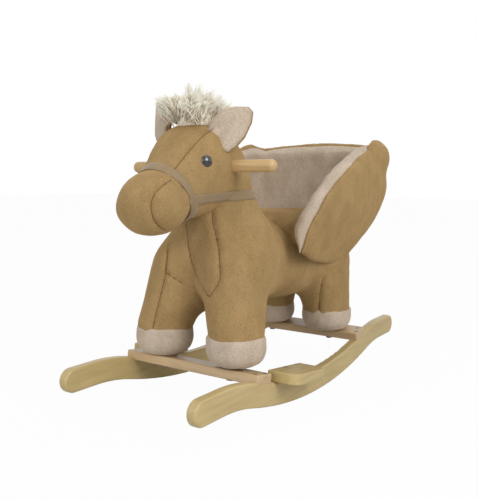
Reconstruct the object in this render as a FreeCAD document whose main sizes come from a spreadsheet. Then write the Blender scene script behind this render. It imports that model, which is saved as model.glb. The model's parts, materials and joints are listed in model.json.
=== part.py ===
import FreeCAD, Part
import math
import os

import Sketcher

# A child's plush rocking horse on wooden rockers.
# Frame: +X towards the nose, +Y the horse's left, +Z up, millimetres.
# Origin: on the floor, under the middle of the rockers.

Vector = FreeCAD.Vector
Rotation = FreeCAD.Rotation
Placement = FreeCAD.Placement

doc = FreeCAD.newDocument("RockingHorse")
sheet = doc.addObject("Spreadsheet::Sheet", "Sizes")

SIZES = [
    # rockers
    ("rocker_outer_side", 140), ("rocker_thick", 18), ("rocker_depth", 40),
    ("rocker_radius", 840), ("rocker_turn_start", 220), ("rocker_turn_end", 300),
    ("rocker_tip_centre", 347.5), ("rocker_edge_round", 4),
    # crossbars
    ("crossbar_long", 280), ("crossbar_wide", 43), ("crossbar_thick", 16),
    ("crossbar_station", 188.9), ("crossbar_height", 68.1), ("crossbar_tilt", 9.13),
    ("crossbar_edge_round", 1.5),
    # footrests
    ("footrest_long", 106), ("footrest_wide", 56), ("footrest_thick", 18),
    ("footrest_inner_side", 126), ("footrest_rear_station", 53),
    ("footrest_rear_height", 43.5), ("footrest_tilt", 7.0), ("footrest_corner", 17),
    # screws
    ("wood_screw_shank", 2.0), ("wood_screw_head", 4.0), ("wood_screw_head_high", 2.4),
    ("wood_screw_long", 34),
    # inner frame
    ("post_side", 28), ("front_post_station", 183), ("rear_post_station", -181),
    ("front_post_offset", 70), ("rear_post_offset", 70), ("post_foot", 66),
    ("seat_board_under", 238), ("seat_board_thick", 12),
    ("seat_board_half_long", 196), ("seat_board_half_wide", 82),
    ("board_notch_half_wide", 48), ("board_notch_station", 136),
    ("bolt_shank", 3.0), ("bolt_head", 6.5), ("bolt_head_high", 4), ("bolt_long", 62),
    ("washer_outer", 9), ("washer_thick", 1.6),
    ("head_board_thick", 18),
    # handle
    ("handle_radius", 10), ("handle_half_long", 147), ("handle_station", 173.3),
    ("handle_height", 407.1), ("handle_pin_radius", 2),
    # seat bucket
    ("bucket_foot", 222), ("bucket_top", 470),
    ("bucket_foot_back", -214), ("bucket_top_back", -260),
    ("bucket_foot_half", 118), ("bucket_top_half", 168),
    ("bucket_front", 28), ("bucket_corner_foot", 60), ("bucket_corner_top", 66),
    ("shell_wall", 17), ("lining_wall", 17),
    ("rim_front_station", 28), ("rim_front_height", 306),
    ("rim_back_station", -190), ("rim_back_height", 454), ("back_rim_height", 458),
    ("stiffener_thick", 6),
    # plush body
    ("barrel_rear_station", -150), ("barrel_height", 240), ("barrel_radius", 86),
    ("chest_station", 96), ("chest_height", 241), ("chest_radius", 91),
    ("neck_foot_station", 104), ("neck_foot_height", 262), ("neck_foot_radius", 78),
    ("neck_top_station", 136), ("neck_top_height", 360), ("neck_top_radius", 62),
    ("front_leg_station", 178), ("front_leg_offset", 72), ("front_leg_foot_radius", 49),
    ("front_leg_top_radius", 53), ("front_leg_foot", 120), ("front_leg_top", 214),
    ("rear_leg_station", -180), ("rear_leg_offset", 68), ("rear_leg_foot_radius", 51),
    ("rear_leg_top_radius", 54), ("rear_leg_foot", 108), ("rear_leg_top", 206),
    ("front_hoof_station", 181.7), ("front_hoof_offset", 78), ("front_hoof_radius", 51),
    ("front_hoof_foot", 74), ("rear_hoof_station", -184), ("rear_hoof_offset", 72),
    ("rear_hoof_radius", 53), ("rear_hoof_foot", 68), ("hoof_round", 12),
    ("seat_foam_long", 170), ("seat_foam_wide", 120), ("seat_foam_thick", 42),
    ("seat_foam_station", -62),
    # head
    ("skull_station", 188), ("skull_height", 412), ("skull_half_long", 74),
    ("skull_half_wide", 61), ("skull_half_high", 62),
    ("face_radius", 56), ("face_end_radius", 48), ("face_end_station", 280),
    ("face_end_height", 365), ("muzzle_station", 292), ("muzzle_height", 350),
    ("muzzle_half_long", 62), ("muzzle_half_wide", 57), ("muzzle_half_high", 52),
    ("ribbon_wide", 16), ("ribbon_thick", 1.6), ("noseband_station", 256),
    ("noseband_height", 377), ("noseband_tilt", 27), ("noseband_radius", 54),
    ("eye_station", 233), ("eye_side", 57), ("eye_height", 413), ("eye_radius", 10),
    ("ear_half_thick", 9), ("mane_station", 168), ("mane_height", 480),
    ("mane_half_long", 72), ("mane_half_wide", 34), ("mane_half_high", 52),
    ("tail_station", -262), ("tail_height", 246), ("tail_half_thick", 20),
    ("tail_half_wide", 24), ("tail_half_high", 62),
]

for row, (alias, value) in enumerate(SIZES, start=1):
    sheet.set(f"A{row}", alias)
    sheet.set(f"B{row}", str(value))
    sheet.setAlias(f"B{row}", alias)
doc.recompute()


def size(alias):
    """One driving dimension, read back from the sheet."""
    return float(sheet.get(alias))


def bind(obj, **formulas):
    """Tie an object's sizes to the sheet; a bare alias or a formula of aliases."""
    for prop, formula in formulas.items():
        words = []
        for word in formula.replace("(", " ( ").replace(")", " ) ").split():
            words.append("Sizes." + word if word[0].isalpha() else word)
        obj.setExpression(prop, " ".join(words))
    return obj


def add(kind, name, place=None, **formulas):
    obj = doc.addObject(kind, name)
    bind(obj, **formulas)
    if place is not None:
        obj.Placement = place
    return obj


def at(x, y, z, axis=None, angle=0.0):
    turn = Rotation(axis, angle) if axis is not None else Rotation()
    return Placement(Vector(x, y, z), turn)


def cut(name, base, *tools):
    """Base less its tools, each a document object; the tools stay whole."""
    tool = tools[0]
    if len(tools) > 1:
        tool = doc.addObject("Part::Compound", name + "_tools")
        tool.Links = list(tools)
    obj = doc.addObject("Part::Cut", name)
    obj.Base = base
    obj.Tool = tool
    return obj


def fuse(name, *shapes):
    obj = doc.addObject("Part::MultiFuse", name)
    obj.Shapes = list(shapes)
    return obj


def group(name, *shapes):
    """Several identical solids that share one node."""
    obj = doc.addObject("Part::Compound", name)
    obj.Links = list(shapes)
    return obj


def ellipsoid(name, x, y, z, rx, ry, rz, turn=None):
    obj = add("Part::Ellipsoid", name, Radius2=rx, Radius3=ry, Radius1=rz)
    obj.Angle1 = -90
    obj.Angle2 = 90
    obj.Angle3 = 360
    obj.Placement = Placement(Vector(x, y, z), turn or Rotation())
    return obj


def closed_sketch(sketch, curves):
    """Lay curves end to end in a sketch and join their ends."""
    for curve in curves:
        sketch.addGeometry(curve, False)
    count = len(curves)
    for i in range(count):
        k = (i + 1) % count
        gap, tail, lead = min(
            ((sketch.getPoint(i, one) - sketch.getPoint(k, other)).Length, one, other)
            for one in (1, 2) for other in (1, 2))
        if gap > 0.01:
            raise RuntimeError(f"{sketch.Name}: curves {i} and {k} do not meet")
        sketch.addConstraint(Sketcher.Constraint("Coincident", i, tail, k, lead))
    return sketch


def line(a, b):
    return Part.LineSegment(Vector(a[0], a[1], 0), Vector(b[0], b[1], 0))


def arc(a, mid, b):
    return Part.Arc(Vector(a[0], a[1], 0), Vector(mid[0], mid[1], 0), Vector(b[0], b[1], 0))


def body_plane(body, role):
    return next(f for f in body.Origin.OriginFeatures if f.Role == role)


def padded_body(name, role, curves, length):
    """A PartDesign body with one sketch, padded by a length from the sheet."""
    body = doc.addObject("PartDesign::Body", name)
    sketch = body.newObject("Sketcher::SketchObject", name + "_outline")
    sketch.AttachmentSupport = (body_plane(body, role), [""])
    sketch.MapMode = "FlatFace"
    closed_sketch(sketch, curves)
    pad = body.newObject("PartDesign::Pad", name + "_pad")
    pad.Profile = sketch
    bind(pad, Length=length)
    body.Tip = pad
    doc.recompute()
    return body, pad


def round_rims(body, pad, name, radius, keep):
    """Fillet the pad's edges that keep() picks."""
    fillet = body.newObject("PartDesign::Fillet", name)
    names = []
    for i, edge in enumerate(pad.Shape.Edges, start=1):
        if keep(edge):
            names.append(f"Edge{i}")
    fillet.Base = (pad, names)
    bind(fillet, Radius=radius)
    body.Tip = fillet
    doc.recompute()
    return fillet


nodes = {}


def node(name, obj):
    obj.Label = name
    nodes[name] = obj
    return obj


# ---------------------------------------------------------------- rockers
RAD = size("rocker_radius")
DEPTH = size("rocker_depth")
TURN = size("rocker_turn_start")
FLAT = size("rocker_turn_end")
TIP = size("rocker_tip_centre")


def rocker_profile():
    """Sole and top of one rocker: a long arc that turns level near each tip."""
    lean = math.asin(TURN / RAD)
    sole_turn = RAD - math.sqrt(RAD * RAD - TURN * TURN)
    sweep = (FLAT - TURN) / math.sin(lean)
    sole_flat = sole_turn + sweep * (1 - math.cos(lean))
    centre_low = sole_flat - sweep
    top_radius = RAD - DEPTH

    def on_sole(angle):
        return (RAD * math.sin(angle), RAD - RAD * math.cos(angle))

    def on_top(angle):
        return (top_radius * math.sin(angle), RAD - top_radius * math.cos(angle))

    def bend(radius, angle):
        return (FLAT - radius * math.sin(angle), centre_low + radius * math.cos(angle))

    wide = sweep + DEPTH
    half = DEPTH / 2.0
    tip_mid = (TIP + half, sole_flat + half)

    def flip(p):
        return (-p[0], p[1])

    curves = [
        arc(on_sole(-lean), on_sole(0), on_sole(lean)),
        arc(on_sole(lean), bend(sweep, lean / 2), bend(sweep, 0)),
        line(bend(sweep, 0), (TIP, sole_flat)),
        arc((TIP, sole_flat), tip_mid, (TIP, sole_flat + DEPTH)),
        line((TIP, sole_flat + DEPTH), bend(wide, 0)),
        arc(bend(wide, 0), bend(wide, lean / 2), bend(wide, lean)),
        arc(on_top(lean), on_top(0), on_top(-lean)),
        arc(flip(bend(wide, lean)), flip(bend(wide, lean / 2)), flip(bend(wide, 0))),
        line(flip(bend(wide, 0)), (-TIP, sole_flat + DEPTH)),
        arc((-TIP, sole_flat + DEPTH), flip(tip_mid), (-TIP, sole_flat)),
        line((-TIP, sole_flat), flip(bend(sweep, 0))),
        arc(flip(bend(sweep, 0)), flip(bend(sweep, lean / 2)), on_sole(-lean)),
    ]
    return curves


def runs_along_a_side(edge):
    """True for an edge that stays in one of the plank's two faces."""
    ys = [edge.valueAt(p).y for p in (edge.FirstParameter, edge.LastParameter)]
    mid = edge.valueAt((edge.FirstParameter + edge.LastParameter) / 2).y
    return max(abs(ys[0] - ys[1]), abs(ys[0] - mid)) < 0.01


def rocker(name, side):
    body, pad = padded_body(name + "_plank", "XZ_Plane", rocker_profile(), "rocker_thick")
    round_rims(body, pad, name + "_round", "rocker_edge_round", runs_along_a_side)
    outer = size("rocker_outer_side")
    body.Placement.Base.y = outer if side > 0 else size("rocker_thick") - outer
    return body


planks = {1: rocker("left_rocker", 1), -1: rocker("right_rocker", -1)}


# ---------------------------------------------------------------- crossbars
def rectangle(x0, y0, x1, y1):
    return [line((x0, y0), (x1, y0)), line((x1, y0), (x1, y1)),
            line((x1, y1), (x0, y1)), line((x0, y1), (x0, y0))]


def crossbar(name, end):
    """A flat board across both rockers, tilted to lie on their slope."""
    half_wide = size("crossbar_wide") / 2
    half_long = size("crossbar_long") / 2
    outline = rectangle(-half_wide, -half_long, half_wide, half_long)
    body, pad = padded_body(name + "_board", "XY_Plane", outline, "crossbar_thick")
    pad.Midplane = True
    doc.recompute()
    chamfer = body.newObject("PartDesign::Chamfer", name + "_eased")
    chamfer.Base = (pad, [f"Edge{i}" for i in range(1, len(pad.Shape.Edges) + 1)])
    bind(chamfer, Size="crossbar_edge_round")
    body.Tip = chamfer
    doc.recompute()
    tilt = -end * size("crossbar_tilt")
    body.Placement = at(end * size("crossbar_station"), 0, size("crossbar_height"),
                        Vector(0, 1, 0), tilt)
    return body


crossbars = {1: crossbar("front_crossbar", 1), -1: crossbar("rear_crossbar", -1)}


# ---------------------------------------------------------------- footrests
def footrest(name, side):
    """A short board screwed on the rocker's top, standing out to the side."""
    long = size("footrest_long")
    wide = size("footrest_wide")
    corner = size("footrest_corner")
    k = corner * (1 - math.sqrt(0.5))
    outline = [
        line((0, 0), (long, 0)),
        line((long, 0), (long, wide - corner)),
        arc((long, wide - corner), (long - k, wide - k), (long - corner, wide)),
        line((long - corner, wide), (corner, wide)),
        arc((corner, wide), (k, wide - k), (0, wide - corner)),
        line((0, wide - corner), (0, 0)),
    ]
    body, pad = padded_body(name + "_board", "XY_Plane", outline, "footrest_thick")
    flat = lambda edge: abs(edge.valueAt(edge.FirstParameter).z
                            - edge.valueAt(edge.LastParameter).z) < 0.01
    round_rims(body, pad, name + "_round", "crossbar_edge_round", flat)
    tilt = Rotation(Vector(0, 1, 0), -size("footrest_tilt"))
    place = Vector(size("footrest_rear_station"), size("footrest_inner_side"),
                   size("footrest_rear_height"))
    body.Placement = Placement(place, tilt)
    if side > 0:
        return body
    mirror = doc.addObject("Part::Mirroring", name + "_mirrored")
    mirror.Source = body
    mirror.Normal = Vector(0, 1, 0)
    return mirror


footboards = {1: footrest("left_footrest", 1), -1: footrest("right_footrest", -1)}


# ---------------------------------------------------------------- screws
def wood_screw(name, x, y, z, tilt):
    """Countersunk screw: its head's top at x, y, z and its shank pointing down."""
    head = add("Part::Cone", name + "_head", Radius1="wood_screw_shank",
               Radius2="wood_screw_head", Height="wood_screw_head_high")
    head.Placement = at(0, 0, -size("wood_screw_head_high"))
    shank = add("Part::Cylinder", name + "_shank", Radius="wood_screw_shank",
                Height="wood_screw_long - wood_screw_head_high")
    shank.Placement = at(0, 0, -size("wood_screw_long"))
    screw = fuse(name, head, shank)
    screw.Placement = Placement(Vector(x, y, z), Rotation(Vector(0, 1, 0), tilt))
    return screw


def board_top(origin, tilt, along, up):
    """A point on a tilted board: along its slope and up from its centre line."""
    a = math.radians(-tilt)
    return (origin[0] + along * math.cos(a) - up * math.sin(a),
            origin[1] + along * math.sin(a) + up * math.cos(a))


crossbar_screw_list = []
for end in (1, -1):
    for side in (1, -1):
        for k, (along, across) in enumerate(((9.5, 127.5), (-9.5, 134.0))):
            tilt = -end * size("crossbar_tilt")
            origin = (end * size("crossbar_station"), size("crossbar_height"))
            x, z = board_top(origin, tilt, end * along, size("crossbar_thick") / 2)
            screw = wood_screw(f"crossbar_screw_{end + 1}{side + 1}{k}",
                               x, side * across, z, tilt)
            crossbar_screw_list.append(screw)

footrest_screw_list = []
for side in (1, -1):
    for k, along in enumerate((22.0, 60.0)):
        tilt = -size("footrest_tilt")
        origin = (size("footrest_rear_station"), size("footrest_rear_height"))
        x, z = board_top(origin, tilt, along, size("footrest_thick"))
        screw = wood_screw(f"footrest_screw_{side + 1}{k}", x,
                           side * (size("rocker_outer_side") - size("rocker_thick") / 2 + 1),
                           z, tilt)
        footrest_screw_list.append(screw)

crossbar_screws = node("crossbar_screws", group("crossbar_screw_set", *crossbar_screw_list))
footrest_screws = node("footrest_screws", group("footrest_screw_set", *footrest_screw_list))

# ---------------------------------------------------------------- leg posts and bolts
posts = {}
bolts = []
for end, word in ((1, "front"), (-1, "rear")):
    for side, hand in ((1, "left"), (-1, "right")):
        station = size(f"{word}_post_station")
        offset = side * size(f"{word}_post_offset")
        half = size("post_side") / 2
        post = add("Part::Box", f"{word}_{hand}_post_stock",
                   at(station - half, offset - half, size("post_foot")),
                   Length="post_side", Width="post_side",
                   Height="seat_board_under - post_foot")
        posts[(end, side)] = post
        tilt = -end * size("crossbar_tilt")
        origin = (end * size("crossbar_station"), size("crossbar_height"))
        along = (station - origin[0]) / math.cos(math.radians(tilt))
        x, z = board_top(origin, tilt, along, -size("crossbar_thick") / 2)
        name = f"{word}_{hand}_bolt"
        head = add("Part::Cylinder", name + "_head",
                   at(0, 0, -size("bolt_head_high") - size("washer_thick")),
                   Radius="bolt_head", Height="bolt_head_high")
        washer = add("Part::Cylinder", name + "_washer", at(0, 0, -size("washer_thick")),
                     Radius="washer_outer", Height="washer_thick")
        shank = add("Part::Cylinder", name + "_shank", at(0, 0, 0),
                    Radius="bolt_shank", Height="bolt_long")
        bolt = fuse(name, head, washer, shank)
        bolt.Placement = Placement(Vector(x, offset, z), Rotation(Vector(0, 1, 0), tilt))
        bolts.append(bolt)

leg_bolts = node("leg_bolts", group("leg_bolt_set", *bolts))

# ---------------------------------------------------------------- seat board
HALF_LONG = size("seat_board_half_long")
HALF_WIDE = size("seat_board_half_wide")
NOTCH_Y = size("board_notch_half_wide")
NOTCH_X = size("board_notch_station")
board_outline = [
    line((-HALF_LONG, -HALF_WIDE), (HALF_LONG, -HALF_WIDE)),
    line((HALF_LONG, -HALF_WIDE), (HALF_LONG, -NOTCH_Y)),
    line((HALF_LONG, -NOTCH_Y), (NOTCH_X, -NOTCH_Y)),
    line((NOTCH_X, -NOTCH_Y), (NOTCH_X, NOTCH_Y)),
    line((NOTCH_X, NOTCH_Y), (HALF_LONG, NOTCH_Y)),
    line((HALF_LONG, NOTCH_Y), (HALF_LONG, HALF_WIDE)),
    line((HALF_LONG, HALF_WIDE), (-HALF_LONG, HALF_WIDE)),
    line((-HALF_LONG, HALF_WIDE), (-HALF_LONG, -HALF_WIDE)),
]
seat_board_body, _ = padded_body("seat_board_ply", "XY_Plane", board_outline, "seat_board_thick")
seat_board_body.Placement = at(-6, 0, size("seat_board_under"))

# ---------------------------------------------------------------- head board and handle
BOARD_TOP = size("seat_board_under") + size("seat_board_thick")
head_outline = [
    line((70, BOARD_TOP), (128, BOARD_TOP)),
    line((128, BOARD_TOP), (132, 300)),
    line((132, 300), (205, 385)),
    line((205, 385), (205, 440)),
    line((205, 440), (146, 440)),
    line((146, 440), (108, 350)),
    line((108, 350), (70, BOARD_TOP)),
]
head_board_body, _ = padded_body("head_board_ply", "XZ_Plane", head_outline, "head_board_thick")
head_board_body.Placement = at(0, size("head_board_thick") / 2, 0)

dowel = add("Part::Cylinder", "handle_rod", Radius="handle_radius",
            Height="2 * handle_half_long")
dowel.Placement = Placement(Vector(size("handle_station"), size("handle_half_long"),
                                   size("handle_height")), Rotation(Vector(1, 0, 0), 90))
doc.recompute()
dowel_round = doc.addObject("Part::Fillet", "handle_rounded")
dowel_round.Base = dowel
end_round = size("handle_radius") * 0.72
dowel_round.Edges = [(i, end_round, end_round) for i, edge in enumerate(dowel.Shape.Edges, 1)
                     if isinstance(edge.Curve, Part.Circle)]

pin = add("Part::Cylinder", "handle_pin_rod",
          at(size("handle_station"), 0, size("handle_height") - size("handle_radius") + 2),
          Radius="handle_pin_radius", Height="handle_radius + 22")
node("handle_pin", pin)
node("handle_dowel", cut("handle_dowel_drilled", dowel_round, pin))

# ---------------------------------------------------------------- seat bucket
FOOT = size("bucket_foot")
TOP = size("bucket_top")


def plan_outline(name, inset, height, front):
    """Plan of the bucket at one height: straight sides, round rear corners."""
    share = (height - FOOT) / (TOP - FOOT)

    def between(word):
        low, high = word
        return size(low) + share * (size(high) - size(low))

    back = between(("bucket_foot_back", "bucket_top_back")) + inset
    half = between(("bucket_foot_half", "bucket_top_half")) - inset
    corner = between(("bucket_corner_foot", "bucket_corner_top")) - inset
    k = corner * (1 - math.sqrt(0.5))
    sketch = doc.addObject("Sketcher::SketchObject", name)
    curves = [
        line((front, -half), (front, half)),
        line((front, half), (back + corner, half)),
        arc((back + corner, half), (back + k, half - k), (back, half - corner)),
        line((back, half - corner), (back, corner - half)),
        arc((back, corner - half), (back + k, k - half), (back + corner, -half)),
        line((back + corner, -half), (front, -half)),
    ]
    closed_sketch(sketch, curves)
    sketch.Placement = at(0, 0, height)
    return sketch


def bucket_block(name, inset, low, high, front):
    loft = doc.addObject("Part::Loft", name)
    loft.Sections = [plan_outline(name + "_low", inset, low, front),
                     plan_outline(name + "_high", inset, high, front)]
    loft.Solid = True
    loft.Ruled = True
    return loft


SHELL = size("shell_wall")
LINING = SHELL + size("lining_wall")
FRONT = size("bucket_front")
outer_block = bucket_block("bucket_outer", 0, FOOT, TOP, FRONT)
middle_block = bucket_block("bucket_middle", SHELL, FOOT - 5, TOP + 5, FRONT + 5)
lining_block = bucket_block("bucket_lining", SHELL, FOOT + 20, TOP - 4, FRONT)
inner_block = bucket_block("bucket_inner", LINING, FOOT - 5, TOP + 5, FRONT + 5)

rim_run = size("rim_front_station") - size("rim_back_station")
rim_rise = size("rim_back_height") - size("rim_front_height")
rim_angle = math.degrees(math.atan2(rim_rise, rim_run))
above_rim = doc.addObject("Part::Box", "above_rim")
above_rim.Length = 700
above_rim.Width = 400
above_rim.Height = 400
above_rim.Placement = Placement(
    Vector(size("rim_front_station"), 0, size("rim_front_height")),
    Rotation(Vector(0, 1, 0), rim_angle)).multiply(Placement(Vector(-450, -200, 0), Rotation()))
above_back = doc.addObject("Part::Box", "above_back")
above_back.Length = 400
above_back.Width = 2 * size("bucket_top_half") - 110
above_back.Height = 100
above_back.Placement = at(-500, 55 - size("bucket_top_half"), size("back_rim_height"))


def side_stiffener(name, side):
    """Ply in a side wall: a triangle that follows the sloping rim."""
    outline = [line((-168, 0), (-30, 0)), line((-30, 0), (-168, 150)),
               line((-168, 150), (-168, 0))]
    body, _ = padded_body(name, "XZ_Plane", outline, "stiffener_thick")
    lean = math.degrees(math.atan2(size("bucket_top_half") - size("bucket_foot_half"), TOP - FOOT))
    half_at_foot = size("bucket_foot_half") + (BOARD_TOP - FOOT) * math.tan(math.radians(lean))
    body.Placement = Placement(Vector(0, side * (half_at_foot - 6), BOARD_TOP),
                               Rotation(Vector(1, 0, 0), -side * lean))
    if side < 0:
        body.Placement.Base.y += size("stiffener_thick")
    return body


left_stiffener = side_stiffener("left_seat_stiffener_ply", 1)
right_stiffener = side_stiffener("right_seat_stiffener_ply", -1)
back_outline = [line((-80, 0), (80, 0)), line((80, 0), (80, 195)),
                line((80, 195), (-80, 195)), line((-80, 195), (-80, 0))]
back_body, _ = padded_body("back_stiffener_ply", "YZ_Plane", back_outline, "stiffener_thick")
back_lean = math.degrees(math.atan2(size("bucket_foot_back") - size("bucket_top_back"), TOP - FOOT))
back_foot = size("bucket_foot_back") - (BOARD_TOP - FOOT) * math.tan(math.radians(back_lean))
back_body.Placement = Placement(Vector(back_foot + 6, 0, BOARD_TOP), Rotation(Vector(0, 1, 0), -back_lean))
node("left_seat_stiffener", left_stiffener)
node("right_seat_stiffener", right_stiffener)
node("back_stiffener", back_body)
stiffeners = (left_stiffener, right_stiffener, back_body)


frame_screw_list = []
for end, word in ((1, "front"), (-1, "rear")):
    for side in (1, -1):
        x = size(f"{word}_post_station")
        y = side * size(f"{word}_post_offset")
        frame_screw_list.append(wood_screw(f"post_screw_{end + 1}{side + 1}", x, y, BOARD_TOP, 0))
for k, x in enumerate((84, 116)):
    screw = wood_screw(f"head_board_screw_{k}", x, 0, 0, 0)
    screw.Placement = Placement(Vector(x, 0, size("seat_board_under")),
                                Rotation(Vector(1, 0, 0), 180))
    frame_screw_list.append(screw)
frame_screws = node("frame_screws", group("frame_screw_set", *frame_screw_list))
node("head_board", cut("head_board_drilled", head_board_body, dowel_round, pin, frame_screws))

inside_walls = (above_rim, above_back, *stiffeners, seat_board_body, posts[(-1, 1)],
                posts[(-1, -1)], frame_screws)
node("seat_shell", cut("seat_shell_formed", outer_block, middle_block, *inside_walls))
node("seat_lining", cut("seat_lining_formed", lining_block, inner_block, *inside_walls))

# ---------------------------------------------------------------- head
skull = ellipsoid("skull", size("skull_station"), 0, size("skull_height"),
                  "skull_half_long", "skull_half_wide", "skull_half_high")
face_run = size("face_end_station") - size("skull_station")
face_drop = size("skull_height") - size("face_end_height")
face_angle = math.degrees(math.atan2(face_drop, face_run))
face_long = math.hypot(face_run, face_drop)
face = add("Part::Cone", "face", Radius1="face_radius", Radius2="face_end_radius")
face.Height = face_long
face.Placement = Placement(Vector(size("skull_station"), 0, size("skull_height")),
                           Rotation(Vector(0, 1, 0), 90 + face_angle))
# the noseband is a flat ribbon ring; everything behind it is head, in front muzzle
band_turn = Rotation(Vector(0, 1, 0), 90 + size("noseband_tilt"))
band_place = Placement(Vector(size("noseband_station"), 0, size("noseband_height")), band_turn)
muzzle_ball = ellipsoid("muzzle_ball", size("muzzle_station"), 0, size("muzzle_height"),
                        "muzzle_half_high", "muzzle_half_wide", "muzzle_half_long", band_turn)
band_back = Placement(Vector(0, 0, -size("ribbon_wide") / 2), Rotation())
band_outer = add("Part::Cylinder", "noseband_outer", band_place.multiply(band_back),
                 Radius="noseband_radius + ribbon_thick", Height="ribbon_wide")
band_inner = add("Part::Cylinder", "noseband_inner", band_place.multiply(band_back),
                 Radius="noseband_radius", Height="ribbon_wide")
noseband = cut("noseband_ring", band_outer, band_inner)
muzzle_side = add("Part::Cylinder", "muzzle_side", band_place)
muzzle_side.Radius = 140
muzzle_side.Height = 220

eyes = {}
for side, hand in ((1, "left"), (-1, "right")):
    eye = ellipsoid(f"{hand}_eye_ball", size("eye_station"), side * size("eye_side"),
                    size("eye_height"), "eye_radius", "eye_radius * 0.7", "eye_radius")
    eye.Placement.Rotation = Rotation(Vector(0, 0, 1), -side * 24)
    eyes[side] = node(f"{hand}_eye", eye)
washers = group("eye_washer_set", *[
    add("Part::Cylinder", f"eye_washer_{side + 1}",
        Placement(Vector(size("eye_station") - 4, side * 41, size("eye_height")),
                  Rotation(Vector(1, 0, 0), 90)), Radius="eye_radius - 1", Height="washer_thick")
    for side in (1, -1)])
node("eye_washers", washers)

# ---------------------------------------------------------------- ears
ear_blocks = []
for side, hand in ((1, "left"), (-1, "right")):
    ear = doc.addObject("Part::Ellipsoid", f"{hand}_ear_block")
    bind(ear, Radius3="ear_half_thick")
    ear.Radius2 = 27
    ear.Radius1 = 38
    ear.Angle1 = -90
    ear.Angle2 = 90
    ear.Angle3 = 360
    lean = Rotation(Vector(1, 0, 0), -side * 48).multiply(Rotation(Vector(0, 1, 0), -24))
    swing = Rotation(Vector(0, 0, 1), side * 22)
    ear.Placement = Placement(Vector(180, side * 64, 468), swing.multiply(lean))
    halves = doc.addObject("Part::Box", f"{hand}_ear_half")
    halves.Length = 120
    halves.Width = 60
    halves.Height = 120
    inward = -60 if side > 0 else 0
    halves.Placement = ear.Placement.multiply(Placement(Vector(-60, inward, -60), Rotation()))
    back = cut(f"{hand}_ear_back", ear, halves)
    front = doc.addObject("Part::Common", f"{hand}_ear_front")
    front.Base = ear
    front.Tool = halves
    ear_blocks.append((hand, ear, back, front))

# ---------------------------------------------------------------- plush body
barrel = add("Part::Cylinder", "barrel", Radius="barrel_radius",
             Height="chest_station - barrel_rear_station")
barrel.Placement = Placement(Vector(size("barrel_rear_station"), 0, size("barrel_height")),
                             Rotation(Vector(0, 1, 0), 90))
rump = add("Part::Sphere", "rump", at(size("barrel_rear_station"), 0, size("barrel_height")),
           Radius="barrel_radius")
chest = add("Part::Sphere", "chest", at(size("chest_station"), 0, size("chest_height")),
            Radius="chest_radius")
neck_run = size("neck_top_station") - size("neck_foot_station")
neck_rise = size("neck_top_height") - size("neck_foot_height")
neck = add("Part::Cone", "neck", Radius1="neck_foot_radius", Radius2="neck_top_radius")
neck.Height = math.hypot(neck_run, neck_rise)
neck.Placement = Placement(
    Vector(size("neck_foot_station"), 0, size("neck_foot_height")),
    Rotation(Vector(0, 1, 0), math.degrees(math.atan2(neck_run, neck_rise))))
torso_block = fuse("torso_block", barrel, rump, chest, neck)

inner_frame = (seat_board_body, head_board_body, *posts.values())
seat_walls = (nodes["seat_shell"], nodes["seat_lining"], *stiffeners)

foam = add("Part::Box", "seat_foam_block",
           at(size("seat_foam_station") - size("seat_foam_long") / 2, -size("seat_foam_wide") / 2,
              BOARD_TOP),
           Length="seat_foam_long", Width="seat_foam_wide", Height="seat_foam_thick")
node("seat_foam", foam)

node("torso", cut("torso_formed", torso_block, *inner_frame, *seat_walls, foam,
                  frame_screws))
node("seat_board", cut("seat_board_drilled", seat_board_body, frame_screws))

legs = []
for end, word in ((1, "front"), (-1, "rear")):
    for side, hand in ((1, "left"), (-1, "right")):
        name = f"{word}_{hand}"
        leg = add("Part::Cone", name + "_leg_block",
                  at(size(f"{word}_leg_station"), side * size(f"{word}_leg_offset"),
                     size(f"{word}_leg_foot")),
                  Radius1=f"{word}_leg_foot_radius", Radius2=f"{word}_leg_top_radius",
                  Height=f"{word}_leg_top - {word}_leg_foot")
        hip = add("Part::Sphere", name + "_hip",
                  at(size(f"{word}_leg_station"), side * size(f"{word}_leg_offset"),
                     size(f"{word}_leg_top")), Radius=f"{word}_leg_top_radius")
        post = posts[(end, side)]
        node(name + "_leg", cut(name + "_leg_formed", fuse(name + "_leg_whole", leg, hip),
                                torso_block, post, seat_board_body, frame_screws, *seat_walls))
        hoof = add("Part::Cylinder", name + "_hoof_block",
                   at(size(f"{word}_hoof_station"), side * size(f"{word}_hoof_offset"),
                      size(f"{word}_hoof_foot")),
                   Radius=f"{word}_hoof_radius", Height=f"{word}_leg_foot - {word}_hoof_foot")
        doc.recompute()
        hoof_round = doc.addObject("Part::Fillet", name + "_hoof_rounded")
        hoof_round.Base = hoof
        low_rim = [i for i, edge in enumerate(hoof.Shape.Edges, 1)
                   if isinstance(edge.Curve, Part.Circle)
                   and edge.Curve.Center.z < size(f"{word}_hoof_foot") + 1]
        hoof_round.Edges = [(i, size("hoof_round"), size("hoof_round")) for i in low_rim]
        node(name + "_hoof", cut(name + "_hoof_formed", hoof_round, post, crossbars[end]))
        node(name + "_leg_post", cut(name + "_post_drilled", post, crossbars[end],
                                     leg_bolts, frame_screws))

# ---------------------------------------------------------------- head, muzzle, ears, mane
head_block = fuse("head_block", skull, face)
node("head", cut("head_formed", head_block, torso_block, muzzle_side, band_outer,
                 head_board_body, dowel_round, pin, *eyes.values(), washers))
muzzle_front = doc.addObject("Part::Common", "muzzle_front")
muzzle_front.Base = muzzle_ball
muzzle_front.Tool = muzzle_side
node("muzzle", cut("muzzle_formed", muzzle_front, band_outer))
node("noseband", cut("noseband_formed", noseband, torso_block))

for hand, ear, back, front in ear_blocks:
    node(f"{hand}_ear", cut(f"{hand}_ear_formed", back, head_block))
    node(f"{hand}_ear_lining", cut(f"{hand}_ear_lining_formed", front, head_block))

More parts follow.
